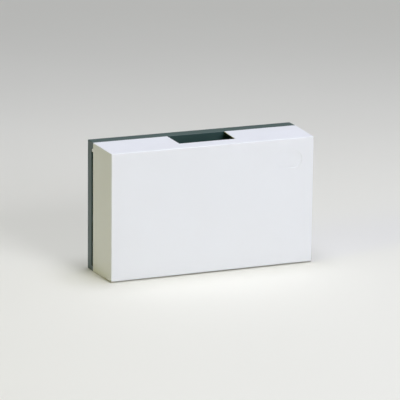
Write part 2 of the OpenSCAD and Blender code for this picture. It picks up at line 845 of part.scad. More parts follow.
module terminal_block() on_wall() color(block_cream) difference() {
    union() {
        block([-block_w / 2, block_low, floor_t], [block_w / 2, block_high, terminal_floor]);
        for (x = [-1, 0, 1] * (block_w - barrier_t) / 2)
            block([x - barrier_t / 2, block_low, terminal_floor - over],
                [x + barrier_t / 2, block_high, terminal_floor + barrier_h]);
        block_screw_places() translate([0, 0, block_ear_floor]) cylinder(h = block_ear_t, d = block_ear_w);
        block([-block_ear_x, block_middle - block_ear_w / 2, block_ear_floor],
            [block_ear_x, block_middle + block_ear_w / 2, block_ear_floor + block_ear_t]);
    }
    terminal_places() screw_hole(terminal_screw_d, terminal_floor, plate_t + clamp_t);
    block_screw_places() translate([0, 0, block_ear_floor - over])
        cylinder(h = block_ear_t + 2 * over, d = block_screw_d + 2 * screw_gap);
}

module terminal_block_screws() on_wall() color(zinc)
    block_screw_places() translate([0, 0, block_ear_floor + block_ear_t]) cross_screw(block_screw_d);

module terminal_plates() on_wall() color(brass) difference() {
    on_both_sides() {
        block([terminal_pitch / 2 - plate_w / 2, block_middle - plate_h / 2, terminal_floor],
            [terminal_pitch / 2 + plate_w / 2, block_middle + plate_h / 2, clamp_floor]);
        block([tail_x - tail_w / 2, block_middle, terminal_floor],
            [tail_x + tail_w / 2, tail_top, clamp_floor]);
    }
    terminal_places() translate([0, 0, terminal_floor - over])
        cylinder(h = plate_t + 2 * over, d = terminal_screw_d + 2 * screw_gap);
}

module wire_clamps() on_wall() color(zinc)
    terminal_places() translate([0, 0, clamp_floor]) difference() {
        linear_extrude(clamp_t) rounded_rectangle(clamp_w, clamp_w, clamp_t);
        translate([0, 0, -over]) cylinder(h = clamp_t + 2 * over, d = terminal_screw_d + 2 * screw_gap);
    }

module terminal_screws() on_wall() color(brass)
    terminal_places() translate([0, 0, terminal_head]) rotate([0, 0, 20]) slotted_screw(terminal_screw_d);

module coil_lead() {
    points = smooth(lead_route, lead_steps);
    tube(points, [for (p = points) [1, 0, 0]], lead_d, lead_sides);
}

module coil_lead_left() on_wall() color(lead_red) coil_lead();

module coil_lead_right() on_wall() color(lead_blue) on_side(left) coil_lead();

base_plate();
cover();
tone_bar_left();
tone_bar_right();
grommets_left();
grommets_right();
yoke();
yoke_screws();
coil_bobbin();
coil_winding();
coil_tape();
plunger_core();
striker_left();
striker_right();
return_spring();
terminal_block();
terminal_block_screws();
terminal_plates();
wire_clamps();
terminal_screws();
coil_lead_left();
coil_lead_right();
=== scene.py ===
import math

import bpy
from mathutils import Matrix, Vector


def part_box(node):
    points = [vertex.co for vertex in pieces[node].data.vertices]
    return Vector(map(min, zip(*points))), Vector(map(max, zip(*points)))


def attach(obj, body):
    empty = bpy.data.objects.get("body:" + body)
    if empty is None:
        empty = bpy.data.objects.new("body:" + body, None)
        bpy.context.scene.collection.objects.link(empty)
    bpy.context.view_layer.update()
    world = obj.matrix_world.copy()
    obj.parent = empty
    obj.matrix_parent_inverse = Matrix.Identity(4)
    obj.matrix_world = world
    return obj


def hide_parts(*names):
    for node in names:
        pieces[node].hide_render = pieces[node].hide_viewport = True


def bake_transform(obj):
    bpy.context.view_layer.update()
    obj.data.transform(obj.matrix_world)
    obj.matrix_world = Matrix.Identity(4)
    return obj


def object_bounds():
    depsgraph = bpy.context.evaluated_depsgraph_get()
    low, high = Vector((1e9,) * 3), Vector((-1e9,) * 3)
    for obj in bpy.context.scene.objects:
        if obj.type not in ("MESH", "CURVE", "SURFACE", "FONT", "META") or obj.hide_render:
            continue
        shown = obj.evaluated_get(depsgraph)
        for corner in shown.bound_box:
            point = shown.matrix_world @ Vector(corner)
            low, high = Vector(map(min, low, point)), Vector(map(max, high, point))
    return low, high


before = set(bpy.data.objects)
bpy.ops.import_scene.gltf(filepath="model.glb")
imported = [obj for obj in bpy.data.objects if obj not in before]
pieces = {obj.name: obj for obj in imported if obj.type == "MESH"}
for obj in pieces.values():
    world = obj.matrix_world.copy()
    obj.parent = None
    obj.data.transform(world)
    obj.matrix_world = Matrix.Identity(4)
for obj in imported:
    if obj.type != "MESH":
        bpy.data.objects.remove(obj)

cad_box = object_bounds()

# Base tray: one moulding in dark grey-green ABS with a fine matt skin. Floor, rim, spigot, forks, bosses
# and ribs come out of the mould together. It hangs on wall screws, and every other piece is fixed to it.


def shade(red, green, blue):
    """A colour as a paint chart gives it, 0 to 255 a channel, in the linear values that shaders use."""
    channels = [c / 255 for c in (red, green, blue)]
    return [c / 12.92 if c <= 0.04045 else ((c + 0.055) / 1.055) ** 2.4 for c in channels] + [1]


def place(tree, kind, values=None, **settings):
    """Adds one shader node, sets it up, and links or sets each input that values names."""
    made = tree.nodes.new(kind)
    for name, value in settings.items():
        setattr(made, name, value)
    for name, value in (values or {}).items():
        if isinstance(value, bpy.types.NodeSocket):
            tree.links.new(value, made.inputs[name])
        else:
            made.inputs[name].default_value = value
    return made


def reckon(tree, operation, *values, clamp=False):
    """One step of arithmetic on shader values."""
    inputs = dict(enumerate(values))
    return place(tree, "ShaderNodeMath", inputs, operation=operation, use_clamp=clamp).outputs[0]


def stretch(tree, value, low, high, to_low=0.0, to_high=1.0):
    """Carries the range from low to high over to another one, and stops at its ends."""
    inputs = {0: value, 1: low, 2: high, 3: to_low, 4: to_high}
    return place(tree, "ShaderNodeMapRange", inputs).outputs[0]


def blend_colour(tree, share, first, second):
    """The first colour where share is 0 and the second where it is 1."""
    return place(tree, "ShaderNodeMix", {0: share, 6: first, 7: second}, data_type="RGBA").outputs[2]


def lay_over(tree, colour, mask, strength, film):
    """A film of another colour, such as dust or wear, as strong as this where its mask is full."""
    return blend_colour(tree, reckon(tree, "MULTIPLY", mask, strength), colour, film)


def speckle(tree, where, size, detail=2.0, rough=0.5):
    """Even noise from 0 to 1 whose spots are about this size in metres."""
    scale = 1 / size if isinstance(size, float) else reckon(tree, "DIVIDE", 1.0, size)
    inputs = {"Vector": where, "Scale": scale, "Detail": detail, "Roughness": rough}
    return place(tree, "ShaderNodeTexNoise", inputs).outputs["Fac"]


def on_piece(tree):
    """The place on the piece itself, in metres, so that a finish moves with it."""
    return place(tree, "ShaderNodeTexCoord").outputs["Object"]


def relief(tree, height, deep):
    """A surface normal from a height of 0 to 1, this deep in metres."""
    inputs = {"Height": height, "Distance": deep, "Strength": 1.0}
    return place(tree, "ShaderNodeBump", inputs).outputs["Normal"]


def new_effect(name, inputs, outputs):
    """An empty node group for an effect that several finishes share."""
    group = bpy.data.node_groups.new(name, "ShaderNodeTree")
    for label, value in inputs.items():
        kind = "NodeSocketVector" if isinstance(value, tuple) else "NodeSocketFloat"
        group.interface.new_socket(label, in_out="INPUT", socket_type=kind).default_value = value
    for label in outputs:
        group.interface.new_socket(label, in_out="OUTPUT", socket_type="NodeSocketFloat")
    return group, group.nodes.new("NodeGroupInput").outputs, group.nodes.new("NodeGroupOutput").inputs


def use_effect(tree, group, **values):
    """Places a shared effect in a finish, with that finish's own values."""
    made = place(tree, "ShaderNodeGroup", node_tree=group)
    for name, value in values.items():
        made.inputs[name.replace("_", " ").capitalize()].default_value = value
    return made.outputs


def new_finish(name, constants=None):
    """A material with its Principled shader, and the values that are the same all over it."""
    finish = bpy.data.materials.new(name)
    finish.use_nodes = True
    shader = finish.node_tree.nodes["Principled BSDF"]
    for socket, value in (constants or {}).items():
        shader.inputs[socket].default_value = value
    return finish, finish.node_tree


def join(tree, **links):
    """Feeds the shader's inputs from sockets, by their names."""
    shader = tree.nodes["Principled BSDF"]
    for name, socket in links.items():
        tree.links.new(socket, shader.inputs[name.replace("_", " ").title()])


def dress(piece, finish):
    """Puts a finish on a piece that comes from model.glb."""
    for slot in piece.material_slots:
        slot.material = finish
    if not piece.material_slots:
        piece.data.materials.append(finish)


def ease_edges(piece, radius):
    """Breaks the sharp edges of a machined or moulded piece, as every real one has them."""
    weld = piece.modifiers.new("one skin", "WELD")
    weld.merge_threshold = 1e-6
    flat = piece.modifiers.new("whole faces", "DECIMATE")
    flat.decimate_type = "DISSOLVE"
    flat.angle_limit = math.radians(0.5)
    edge = piece.modifiers.new("broken edges", "BEVEL")
    edge.width = radius
    edge.segments = 2
    edge.limit_method = "ANGLE"
    edge.angle_limit = math.radians(35)
    edge.use_clamp_overlap = False
    edge.loop_slide = False
    even = piece.modifiers.new("even shading", "WEIGHTED_NORMAL")
    even.keep_sharp = False


# Moulded skin: the fine pits of a spark-eroded mould, and the slow change of tone where the melt flowed
moulded_skin, given, made = new_effect("Moulded skin", {"Grain": 0.0002, "Flow": 0.04}, ["Height", "Tone"])
tree = moulded_skin
here = on_piece(tree)
fine = speckle(tree, here, given["Grain"], rough=0.6)
pit_scale = reckon(tree, "DIVIDE", 0.6, given["Grain"])
pits = place(tree, "ShaderNodeTexVoronoi", {"Vector": here, "Scale": pit_scale}).outputs["Distance"]
height = reckon(tree, "ADD", reckon(tree, "MULTIPLY", fine, 0.6), reckon(tree, "MULTIPLY", pits, 0.4))
tree.links.new(height, made["Height"])
tree.links.new(speckle(tree, here, given["Flow"], detail=3.0), made["Tone"])

# Edge rub: outer edges only, broken up, where hands and tools have polished or bared the surface
edge_rub, given, made = new_effect("Edge rub", {"Reach": 0.0006, "Break up": 0.004}, ["Mask"])
tree = edge_rub
closed = place(tree, "ShaderNodeAmbientOcclusion", {"Distance": given["Reach"]}, samples=8, inside=True,
               only_local=True).outputs["AO"]
patchy = speckle(tree, on_piece(tree), given["Break up"])
outer_edge = stretch(tree, closed, 0.92, 0.55)
rubbed = reckon(tree, "MULTIPLY", outer_edge, stretch(tree, patchy, 0.35, 0.65), clamp=True)
tree.links.new(rubbed, made["Mask"])

# Corner dust: the pale film that settles in inner corners and lightly on what faces up
corner_dust, given, made = new_effect("Corner dust", {"Reach": 0.004, "Patch": 0.006}, ["Mask"])
tree = corner_dust
open_air = place(tree, "ShaderNodeAmbientOcclusion", {"Distance": given["Reach"]}, samples=8,
                 only_local=True).outputs["AO"]
facing = place(tree, "ShaderNodeNewGeometry").outputs["Normal"]
upward = place(tree, "ShaderNodeSeparateXYZ", {0: facing}).outputs["Z"]
patchy = speckle(tree, on_piece(tree), given["Patch"], detail=4.0)
settled = reckon(tree, "ADD", stretch(tree, open_air, 0.9, 0.3), stretch(tree, upward, 0.4, 1.0, 0.0, 0.3))
dusty = reckon(tree, "MULTIPLY", settled, stretch(tree, patchy, 0.3, 0.7), clamp=True)
tree.links.new(dusty, made["Mask"])

base_green = shade(37, 70, 67)
base_green_deep = shade(31, 64, 61)
base_rubbed = shade(74, 98, 98)
house_dust = shade(150, 150, 144)
base_abs, tree = new_finish("Dark grey-green ABS", {"Specular IOR Level": 0.75})
skin = use_effect(tree, moulded_skin, grain=0.00022, flow=0.035)
rubbed = use_effect(tree, edge_rub, reach=0.0007, break_up=0.005)["Mask"]
dusty = use_effect(tree, corner_dust, reach=0.004, patch=0.007)["Mask"]
colour = blend_colour(tree, skin["Tone"], base_green_deep, base_green)
colour = lay_over(tree, colour, rubbed, 0.45, base_rubbed)
colour = lay_over(tree, colour, dusty, 0.16, house_dust)
matt = stretch(tree, skin["Tone"], 0.2, 0.8, 0.36, 0.42)
join(tree, base_color=colour, roughness=reckon(tree, "ADD", matt, reckon(tree, "MULTIPLY", dusty, 0.2)),
     normal=relief(tree, skin["Height"], deep=0.00003))
dress(pieces["base_plate"], base_abs)
ease_edges(pieces["base_plate"], radius=0.00025)

# Tone bars: flat spring steel, sheared to length, punched for the grommets and plated bright.
# The long bar on the left gives the low note. Each has a dull spot in the middle where the striker hits.

# Drawn grain: long streaks along the way a metal was rolled or drawn, and the smudges of handling
drawn_grain, given, made = new_effect("Drawn grain", {"Across": (5000.0, 5000.0, 60.0), "Smear": 0.02},
                                      ["Streak", "Smudge"])
tree = drawn_grain
here = on_piece(tree)
drawn_out = place(tree, "ShaderNodeVectorMath", {0: here, 1: given["Across"]}, operation="MULTIPLY")
tree.links.new(speckle(tree, drawn_out.outputs[0], 1.0, detail=4.0, rough=0.65), made["Streak"])
tree.links.new(speckle(tree, here, given["Smear"], detail=3.0), made["Smudge"])

# The plunger runs level with the middle of the bars, this far out from the wall
bar_low, bar_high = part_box("tone_bar_left")
plunger_out = (bar_low[1] + bar_high[1]) / 2
strike_spot = 0.0042
plate_bright = shade(205, 208, 210)
plate_grey = shade(176, 180, 183)
bare_steel = shade(120, 120, 118)
plated_steel, tree = new_finish("Bright plated spring steel", {"Metallic": 1.0})
grain = use_effect(tree, drawn_grain, across=(6000.0, 6000.0, 90.0), smear=0.016)
rubbed = use_effect(tree, edge_rub, reach=0.0006, break_up=0.003)["Mask"]
here = place(tree, "ShaderNodeSeparateXYZ", {0: on_piece(tree)}).outputs
on_face = place(tree, "ShaderNodeCombineXYZ", {"Y": here["Y"], "Z": here["Z"]}).outputs[0]
from_spot = place(tree, "ShaderNodeVectorMath", {0: on_face, 1: (0.0, plunger_out, 0.0)},
                  operation="DISTANCE").outputs["Value"]
dents = stretch(tree, speckle(tree, on_piece(tree), 0.0008), 0.3, 0.6)
in_spot = stretch(tree, from_spot, strike_spot, strike_spot * 0.45)
struck = reckon(tree, "MULTIPLY", in_spot, dents, clamp=True)
colour = blend_colour(tree, stretch(tree, grain["Streak"], 0.3, 0.7), plate_grey, plate_bright)
colour = lay_over(tree, colour, rubbed, 0.6, bare_steel)
colour = lay_over(tree, colour, struck, 0.5, bare_steel)
handled = stretch(tree, grain["Smudge"], 0.3, 0.7, 0.2, 0.36)
join(tree, base_color=colour, roughness=reckon(tree, "ADD", handled, reckon(tree, "MULTIPLY", struck, 0.25)),
     normal=relief(tree, grain["Streak"], deep=0.000004))
for bar in ("tone_bar_left", "tone_bar_right"):
    dress(pieces[bar], plated_steel)
    ease_edges(pieces[bar], radius=0.0003)

# Rubber grommets: soft black rubber, moulded with three flanges. They are pulled through the bar's holes
# and slid into the forks, so that the bars ring freely. The rubber has a slight grey bloom.


def round_corners(outline, radius, steps=4):
    """A closed outline with each corner replaced by a short curve."""
    eased = []
    for i, corner in enumerate(outline):
        corner = Vector(corner)
        before = Vector(outline[i - 1]) - corner
        after = Vector(outline[(i + 1) % len(outline)]) - corner
        start = corner + before.normalized() * min(radius, 0.45 * before.length)
        end = corner + after.normalized() * min(radius, 0.45 * after.length)
        for s in range(steps + 1):
            t = s / steps
            eased.append((1 - t) ** 2 * start + 2 * t * (1 - t) * corner + t ** 2 * end)
    return eased


def turn_ring(outline, centre, along, steps=64):
    """A ring turned about an axis: outline gives closed (along, radius) points."""
    centre, along = Vector(centre), Vector(along).normalized()
    side = along.orthogonal().normalized()
    up = along.cross(side)
    points, faces, n = [], [], len(outline)
    for k in range(steps):
        spoke = side * math.cos(2 * math.pi * k / steps) + up * math.sin(2 * math.pi * k / steps)
        points += [centre + along * a + spoke * r for a, r in outline]
        for i in range(n):
            j, m = (i + 1) % n, (k + 1) % steps
            faces.append((k * n + i, m * n + i, m * n + j, k * n + j))
    return points, faces


def new_piece(name, shapes, finish, body=None, replaced=(), sharp=40):
    """One object from several closed shapes, riding on a body and standing for the pieces named."""
    points, faces = [], []
    for shape_points, shape_faces in shapes:
        faces += [tuple(i + len(points) for i in face) for face in shape_faces]
        points += shape_points
    mesh = bpy.data.meshes.new(name)
    mesh.from_pydata([tuple(p) for p in points], [], faces)
    mesh.validate()
    mesh.shade_smooth()
    mesh.set_sharp_from_angle(angle=math.radians(sharp))
    mesh.materials.append(finish)
    piece = bpy.data.objects.new(name, mesh)
    bpy.context.scene.collection.objects.link(piece)
    if body:
        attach(piece, body)
    if replaced:
        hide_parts(*replaced)
    return piece


rubber_black = shade(30, 30, 31)
rubber_bloom = shade(74, 75, 76)
grommet_rubber, tree = new_finish("Black grommet rubber")
skin = use_effect(tree, moulded_skin, grain=0.0003, flow=0.004)
dusty = use_effect(tree, corner_dust, reach=0.002, patch=0.003)["Mask"]
rubbed = use_effect(tree, edge_rub, reach=0.0006, break_up=0.002)["Mask"]
colour = blend_colour(tree, stretch(tree, skin["Tone"], 0.45, 0.8, 0.0, 0.5), rubber_black, rubber_bloom)
colour = lay_over(tree, colour, dusty, 0.3, house_dust)
join(tree, base_color=colour, roughness=stretch(tree, rubbed, 0.0, 1.0, 0.78, 0.55),
     normal=relief(tree, skin["Height"], deep=0.00003))

grommet_bore, grommet_flange, grommet_corner = 0.0013, 0.006, 0.0005
neck_in_bar, neck_in_fork = 0.0044, 0.0029
grommet_steps = ((0.0017, grommet_flange), (0.0027, neck_in_bar), (0.0023, grommet_flange),
                 (0.0026, neck_in_fork), (0.0017, grommet_flange))
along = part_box("grommets_right")[0][0]
grommet_outline = [(along, grommet_bore)]
for length, radius in grommet_steps:
    grommet_outline += [(along, radius), (along + length, radius)]
    along += length
grommet_outline.append((along, grommet_bore))
grommet_outline = round_corners(grommet_outline, grommet_corner)

# A bar that rings stands still at this share of its length above and below its middle
still_share = 0.276
for side, outward in (("left", -1), ("right", 1)):
    bar_low, bar_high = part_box(f"tone_bar_{side}")
    still = still_share * (bar_high[2] - bar_low[2])
    new_piece(f"rubber_grommets_{side}",
              [turn_ring(grommet_outline, (0, plunger_out, z), (outward, 0, 0)) for z in (-still, still)],
              grommet_rubber, "base", [f"grommets_{side}"])

# Yoke: a strip of mild steel, blanked, bent to a U and zinc plated. It carries the coil between its arms
# and closes the magnet's path. Two ears at its back take the cross-head screws that fix it to the bosses.

zinc_pale = shade(186, 191, 192)
zinc_blue = shade(160, 168, 174)
zinc_straw = shade(186, 182, 164)
zinc_plate, tree = new_finish("Blue passivated zinc plate", {"Metallic": 1.0})
grain = use_effect(tree, drawn_grain, across=(260.0, 3500.0, 3500.0), smear=0.007)
rubbed = use_effect(tree, edge_rub, reach=0.0005, break_up=0.002)["Mask"]
crystals = place(tree, "ShaderNodeTexVoronoi", {"Vector": on_piece(tree), "Scale": 1100.0}).outputs["Color"]
crystal_tone = place(tree, "ShaderNodeSeparateColor", {0: crystals}).outputs[0]
colour = blend_colour(tree, crystal_tone, zinc_blue, zinc_pale)
colour = blend_colour(tree, stretch(tree, grain["Smudge"], 0.5, 0.75, 0.0, 0.6), colour, zinc_straw)
colour = lay_over(tree, colour, rubbed, 0.5, bare_steel)
handled = stretch(tree, grain["Smudge"], 0.3, 0.7, 0.3, 0.44)
join(tree, base_color=colour, normal=relief(tree, grain["Streak"], deep=0.000005),
     roughness=reckon(tree, "ADD", handled, reckon(tree, "MULTIPLY", crystal_tone, 0.08)))
dress(pieces["yoke"], zinc_plate)
ease_edges(pieces["yoke"], radius=0.00015)

head_share, rim_share = 0.7, 0.3
shank_length = 0.0075


def pan_head_screw(seat, thread, cut, turned, spokes=72, rings=26):
    """A screw that points at the wall, its domed head standing out from the seat, with a driver cut in it."""
    radius, tall = thread, head_share * thread
    slot_half, slot_floor, slot_edge = 0.0005, 0.45 * tall, 0.00009
    cross_half, cross_reach, cross_edge = thread / 8, 0.6 * thread, 0.00012

    def head(x, z):
        """How far the head stands out here: its dome, less the driver cut with its softened edges."""
        fullness = max(0.0, 1 - (math.hypot(x, z) / radius) ** 4.5) ** 0.5
        dome = tall * (rim_share + (1 - rim_share) * fullness)
        a = abs(x * math.cos(turned) + z * math.sin(turned))
        b = abs(z * math.cos(turned) - x * math.sin(turned))
        if cut == "slot":
            inside = (slot_half - b) / slot_edge
            bottom = slot_floor
        else:
            arms = min(cross_half - b, cross_reach - a), min(cross_half - a, cross_reach - b)
            inside = max(arms) / cross_edge
            bottom = dome - (0.5 - 0.3 * max(a, b) / cross_reach) * tall
        return dome - min(1, max(0, inside + 0.5)) * max(0, dome - bottom)

    domed = [radius * (i / rings) ** 0.85 for i in range(1, rings + 1)]
    below = [(radius, 0.05 * tall), (0.97 * radius, 0.0), (thread / 2, 0.0),
             (thread / 2, -shank_length), (0.0002, -shank_length)]
    angles = [2 * math.pi * k / spokes for k in range(spokes)]
    spread = [(math.cos(a), math.sin(a)) for a in angles]
    points = [Vector((r * c, -head(r * c, r * s), r * s)) for r in domed for c, s in spread]
    points += [Vector((r * c, -h, r * s)) for r, h in below for c, s in spread]
    rows, middle = len(domed) + len(below), len(points)
    points.append(Vector((0, -head(0, 0), 0)))
    faces = [(middle, k, (k + 1) % spokes) for k in range(spokes)]
    for i in range(0, (rows - 1) * spokes, spokes):
        for k in range(spokes):
            j = (k + 1) % spokes
            faces.append((i + k, i + spokes + k, i + spokes + j, i + j))
    faces.append(tuple((rows - 1) * spokes + k for k in reversed(range(spokes))))
    return [seat + p for p in points], faces


def screw_pair(node, thread, cut, turns):
    """Two like screws where the node has them, the left one never lower than the right one."""
    low, high = (Vector(corner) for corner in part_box(node))
    seat = low.y + head_share * thread
    left, right = (low.x + thread, seat, high.z - thread), (high.x - thread, seat, low.z + thread)
    return [pan_head_screw(Vector(spot), thread, cut, turn) for spot, turn in zip((left, right), turns)]


new_piece("yoke_fixing_screws",
          screw_pair("yoke_screws", thread=0.003, cut="cross", turns=(0.35, 1.1)),
          zinc_plate, "base", ["yoke_screws"], sharp=34)

# Bobbin, winding and tape: a natural nylon bobbin, wound with enamelled copper wire in close layers and
# wrapped in yellow polyester tape. Its tube passes through the yoke's arms, and the plunger runs in it.

nylon_milk = shade(232, 226, 208)
nylon_amber = shade(220, 206, 172)
nylon_grime = shade(150, 142, 124)
natural_nylon, tree = new_finish("Natural nylon", {
    "Subsurface Weight": 0.25, "Subsurface Radius": (0.0012, 0.0010, 0.0007), "Subsurface Scale": 1.0})
skin = use_effect(tree, moulded_skin, grain=0.0004, flow=0.009)
dusty = use_effect(tree, corner_dust, reach=0.002, patch=0.004)["Mask"]
colour = blend_colour(tree, skin["Tone"], nylon_milk, nylon_amber)
colour = lay_over(tree, colour, dusty, 0.25, nylon_grime)
join(tree, base_color=colour, roughness=stretch(tree, skin["Tone"], 0.2, 0.8, 0.34, 0.46),
     normal=relief(tree, skin["Height"], deep=0.000015))
dress(pieces["coil_bobbin"], natural_nylon)
ease_edges(pieces["coil_bobbin"], radius=0.0002)


def sweep_wire(route, radii, sides=14):
    """A closed wire along a route of points, with a radius at each."""
    points, faces, n = [], [], len(route)
    side = None
    for i, spot in enumerate(route):
        along = (route[min(i + 1, n - 1)] - route[max(i - 1, 0)]).normalized()
        side = along.orthogonal() if side is None else side - along * side.dot(along)
        side.normalize()
        up = along.cross(side)
        for k in range(sides):
            a = 2 * math.pi * k / sides
            points.append(spot + radii[i] * (side * math.cos(a) + up * math.sin(a)))
    for i in range(n - 1):
        for k in range(sides):
            j = (k + 1) % sides
            faces.append((i * sides + k, i * sides + j, (i + 1) * sides + j, (i + 1) * sides + k))
    faces += [tuple(range(sides))[::-1], tuple((n - 1) * sides + k for k in range(sides))]
    return points, faces


copper_bright = shade(186, 98, 52)
copper_dark = shade(112, 46, 22)
enamelled_copper, tree = new_finish("Enamelled copper wire", {
    "Metallic": 0.85, "Coat Weight": 0.5, "Coat Roughness": 0.12})
grain = use_effect(tree, drawn_grain, across=(2500.0, 500.0, 500.0), smear=0.002)
mottle = speckle(tree, on_piece(tree), 0.0016, detail=3.0)
colour = blend_colour(tree, stretch(tree, mottle, 0.3, 0.65), copper_dark, copper_bright)
join(tree, base_color=colour, roughness=stretch(tree, grain["Smudge"], 0.3, 0.7, 0.2, 0.36),
     normal=relief(tree, grain["Streak"], deep=0.000004))

coil_low, coil_high = (Vector(corner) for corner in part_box("coil_winding"))
coil_middle = (coil_low + coil_high) / 2
coil_half, coil_radius, coil_bore = coil_high.x, coil_high.z, 0.00555
wire_radius, wire_pitch, layer_gap = 0.000136, 0.00028, 0.00002
end_turns, turn_points = 6, 72
inner_layers = coil_radius - 2 * wire_radius - layer_gap
turns = [turn_ring([(-coil_half, coil_bore), (-coil_half, inner_layers), (coil_half, inner_layers),
                    (coil_half, coil_bore)], coil_middle, (1, 0, 0), steps=96)]
for end in (-1, 1):
    route = []
    for i in range(end_turns * turn_points + 1):
        a = 2 * math.pi * i / turn_points
        along = end * (coil_half - wire_radius - wire_pitch * i / turn_points)
        spoke = Vector((0, -math.cos(a), math.sin(a))) * (coil_radius - wire_radius)
        route.append(coil_middle + spoke + Vector((along, 0, 0)))
    turns.append(sweep_wire(route, [wire_radius] * len(route), sides=8))
new_piece("wound_copper_wire", turns, enamelled_copper, "base", ["coil_winding"], sharp=60)

tape_yellow = shade(222, 176, 52)
tape_amber = shade(186, 128, 30)
tape_scuffed = shade(236, 214, 140)
polyester_tape, tree = new_finish("Yellow polyester tape", {"Coat Weight": 0.4, "Coat Roughness": 0.15})
here = on_piece(tree)
along = place(tree, "ShaderNodeSeparateXYZ", {0: here}).outputs["X"]
wires = reckon(tree, "SINE", reckon(tree, "MULTIPLY", along, 2 * math.pi / (4 * wire_pitch)))
round_coil = place(tree, "ShaderNodeVectorMath", {0: here, 1: (900.0, 120.0, 120.0)}, operation="MULTIPLY")
creased = speckle(tree, round_coil.outputs[0], 1.0, detail=3.0)
rubbed = use_effect(tree, edge_rub, reach=0.0003, break_up=0.003)["Mask"]
colour = blend_colour(tree, stretch(tree, creased, 0.35, 0.65), tape_amber, tape_yellow)
colour = lay_over(tree, colour, stretch(tree, wires, -1.0, 1.0), 0.12, copper_dark)
colour = lay_over(tree, colour, rubbed, 0.5, tape_scuffed)
height = reckon(tree, "ADD", reckon(tree, "MULTIPLY", creased, 0.8), reckon(tree, "MULTIPLY", wires, 0.1))
join(tree, base_color=colour, roughness=stretch(tree, creased, 0.3, 0.7, 0.22, 0.34),
     normal=relief(tree, height, deep=0.00006))

tape_half, tape_under, tape_ply = 0.0172, 0.01105, 0.00009
outer_lap, middle_lap = 0.0046, 0.0062
lap_start, lap_end, lap_slant = 1.2, 3.0, 3.0
edge_step, turn_step, sag_depth = 0.00006, 0.005, 0.00004


def wound_tape(columns=24, steps=144):
    """Three widths of tape that overlap, round the coil, with the free end lapped over by a quarter turn."""
    laps = [(-tape_half, -outer_lap), (-middle_lap, middle_lap), (outer_lap, tape_half)]
    cuts = {edge + nudge for lap in laps for edge in lap for nudge in (-edge_step, edge_step)}
    cuts |= {tape_half * i / columns for i in range(-columns, columns + 1)}
    cuts = [c for c in sorted(cuts) if abs(c) <= tape_half]
    angles = [2 * math.pi * k / steps for k in range(steps)]
    angles += [edge + nudge for edge in (lap_start, lap_end) for nudge in (-turn_step, turn_step)]

    def radius(x, a):
        """How far out the tape lies here: its plies, and a little sag."""
        plies = 1 + sum(1 for low, high in laps if low <= x <= high)
        if lap_start < a + lap_slant * x < lap_end:
            plies += 1
        sag = sag_depth * math.sin(3 * a + 240 * x)
        return tape_under + tape_ply * plies + sag

    points, faces = [], []
    for a in sorted(angles):
        spoke = Vector((0, -math.cos(a), math.sin(a)))
        points += [Vector((x, plunger_out, 0)) + spoke * radius(x, a) for x in cuts]
        points += [Vector((x, plunger_out, 0)) + spoke * tape_under for x in (tape_half, -tape_half)]
    ring, n = len(cuts) + 2, len(angles)
    for k in range(n):
        m = (k + 1) % n
        for i in range(ring):
            j = (i + 1) % ring
            faces.append((k * ring + i, k * ring + j, m * ring + j, m * ring + i))
    return points, faces


new_piece("coil_tape_wrap", [wound_tape()], polyester_tape, "base", ["coil_tape"], sharp=28)

# Plunger: a turned soft-iron core with a nylon striker pressed into each end. The right one is a long rod
# for the high note. The left one has a flange that the return spring pushes against, and a short nose.

core_light = shade(150, 151, 152)
core_dark = shade(104, 105, 108)
core_stain = shade(112, 92, 74)
core_polish = shade(196, 196, 194)
turned_iron, tree = new_finish("Turned soft iron", {"Metallic": 1.0})
here = on_piece(tree)
along = place(tree, "ShaderNodeSeparateXYZ", {0: here}).outputs["X"]
grooves = place(tree, "ShaderNodeTexNoise", {"W": along, "Scale": 5200.0, "Detail": 3.0, "Roughness": 0.7},
                noise_dimensions="1D").outputs["Fac"]
rubbed = use_effect(tree, edge_rub, reach=0.0006, break_up=0.002)["Mask"]
stained = speckle(tree, here, 0.004, detail=4.0)
colour = blend_colour(tree, stretch(tree, grooves, 0.3, 0.7), core_dark, core_light)
colour = blend_colour(tree, stretch(tree, stained, 0.55, 0.75, 0.0, 0.45), colour, core_stain)
colour = lay_over(tree, colour, rubbed, 0.6, core_polish)
join(tree, base_color=colour, roughness=stretch(tree, stained, 0.3, 0.75, 0.24, 0.46),
     normal=relief(tree, grooves, deep=0.000008))
dress(pieces["plunger_core"], turned_iron)
ease_edges(pieces["plunger_core"], radius=0.0003)
for striker in ("striker_left", "striker_right"):
    dress(pieces[striker], natural_nylon)
    ease_edges(pieces[striker], radius=0.0002)

# Return spring: drawn spring wire, coiled to eight turns with its end turns closed. It sits round the
# bobbin's tube, against the yoke's left arm, and pushes the left striker's flange back after each stroke.

wire_grey = shade(190, 192, 194)
wire_dark = shade(128, 128, 130)
wire_grime = shade(96, 88, 78)
spring_steel, tree = new_finish("Drawn spring wire", {"Metallic": 1.0})
grain = use_effect(tree, drawn_grain, across=(900.0, 900.0, 900.0), smear=0.003)
dusty = use_effect(tree, corner_dust, reach=0.0012, patch=0.002)["Mask"]
colour = blend_colour(tree, stretch(tree, grain["Smudge"], 0.35, 0.7), wire_grey, wire_dark)
colour = lay_over(tree, colour, dusty, 0.3, wire_grime)
join(tree, base_color=colour, roughness=stretch(tree, grain["Streak"], 0.3, 0.7, 0.2, 0.34),
     normal=relief(tree, grain["Streak"], deep=0.000004))

spring_from, spring_to = -0.0221, -0.0449
spring_length = abs(spring_to - spring_from)
spring_radius, spring_wire = 0.0065, 0.00045
spring_turns, turn_steps = 8, 40
closed_turns, closed_pitch = 1.0, 0.00096
open_pitch = (spring_length - 2 * closed_turns * closed_pitch) / (spring_turns - 2 * closed_turns)


